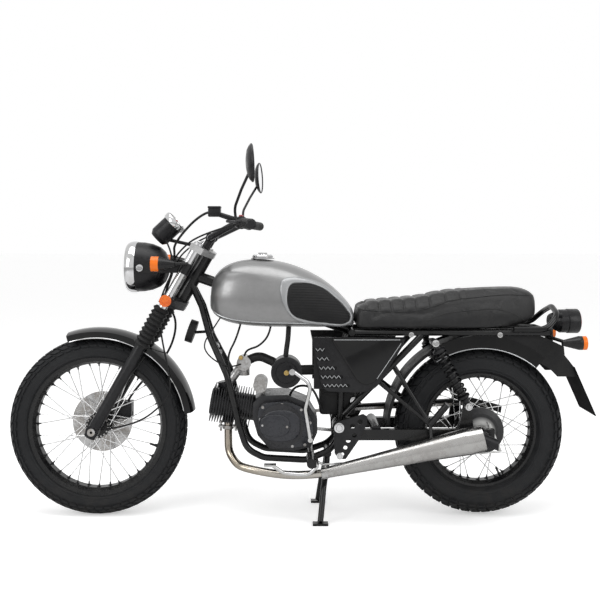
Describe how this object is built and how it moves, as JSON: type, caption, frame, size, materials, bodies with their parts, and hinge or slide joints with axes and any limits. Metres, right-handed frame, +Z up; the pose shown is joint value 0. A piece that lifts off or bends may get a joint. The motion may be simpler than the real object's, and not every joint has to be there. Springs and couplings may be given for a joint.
{
  "type": "cafe racer motorcycle",
  "caption": "Small cafe racer motorcycle on its centre stand, with steering fork, spoked wheels, finned engine and rounded tank.",
  "frame": {"origin": "on the floor, at the middle of the length and of the width", "axes": "+X forward, +Y towards the silencer's side, +Z up"},
  "size_m": [2.0187, 0.812, 1.2549],
  "materials": {
    "black_paint": "satin black frame paint",
    "gloss_black": "gloss black moulded panels",
    "black_plastic": "matt black moulded plastic",
    "silver_paint": "satin silver-grey paint",
    "alloy": "cast and polished aluminium",
    "chrome": "bright chrome plate",
    "steel": "brushed steel",
    "exhaust_steel": "polished stainless steel with a warm tint",
    "tyre_rubber": "black road tyre",
    "rubber": "black moulded rubber",
    "seat_vinyl": "black stitched vinyl",
    "glass": "clear lamp glass",
    "amber": "amber lens plastic",
    "red": "red lens plastic",
    "mirror": "mirror glass in a chrome shell"
  },
  "bodies": {
    "chassis": {"frame_backbone": "black_paint", "frame_cradle": "black_paint", "frame_subframe": "black_paint", "swingarm": "black_paint", "rear_axle": "steel", "rear_brake": "alloy", "shock_absorbers": "chrome", "fuel_tank": "silver_paint", "fuel_cap": "chrome", "knee_pads": "rubber", "seat": "seat_vinyl", "side_panels": "gloss_black", "engine_crankcase": "alloy", "engine_cylinder": "alloy", "air_filter": "chrome", "starter_motor": "alloy", "carburettor": "alloy", "intake_hose": "rubber", "exhaust_header": "exhaust_steel", "silencer": "exhaust_steel", "foot_controls": "chrome", "footrests": "rubber", "footrest_plates": "alloy", "chain": "steel", "chain_guard": "black_plastic", "rear_mudguard": "black_plastic", "grab_rail": "chrome", "plate_bracket": "black_paint", "tail_light": "red", "rear_indicators": "amber", "horn": "black_plastic"},
    "steering": {"fork_stanchions": "chrome", "fork_sliders": "alloy", "fork_gaiters": "rubber", "fork_yokes": "alloy", "front_axle": "steel", "front_mudguard": "silver_paint", "fork_reflectors": "amber", "handlebar": "chrome", "handlebar_grips": "rubber", "hand_controls": "black_plastic", "mirrors": "mirror", "headlamp": "gloss_black", "headlamp_lens": "glass", "front_indicators": "amber", "headlamp_bracket": "black_paint", "speedometer": "gloss_black", "brake_caliper": "alloy"},
    "front_wheel": {"front_tyre": "tyre_rubber", "front_wheel_rim": "alloy", "front_disc": "steel"},
    "rear_wheel": {"rear_tyre": "tyre_rubber", "rear_wheel_rim": "alloy", "rear_sprocket": "steel"},
    "centre_stand": {"centre_stand": "black_paint"}
  },
  "joints": [
    {"name": "steering_turn", "type": "hinge", "parent": "chassis", "child": "steering", "pos_m": [0.37108, 0, 0.81498], "axis": [-0.4924, 0, 0.8704], "range_deg": [-40, 40]},
    {"name": "front_wheel_spin", "type": "hinge", "parent": "steering", "child": "front_wheel", "pos_m": [0.697, 0, 0.31], "axis": [0, 1, 0], "continuous": true},
    {"name": "rear_wheel_spin", "type": "hinge", "parent": "chassis", "child": "rear_wheel", "pos_m": [-0.626, 0, 0.298], "axis": [0, 1, 0], "continuous": true},
    {"name": "stand_fold", "type": "hinge", "parent": "chassis", "child": "centre_stand", "pos_m": [-0.1, 0, 0.222], "axis": [0, 1, 0], "range_deg": [0, 70]}
  ]
}
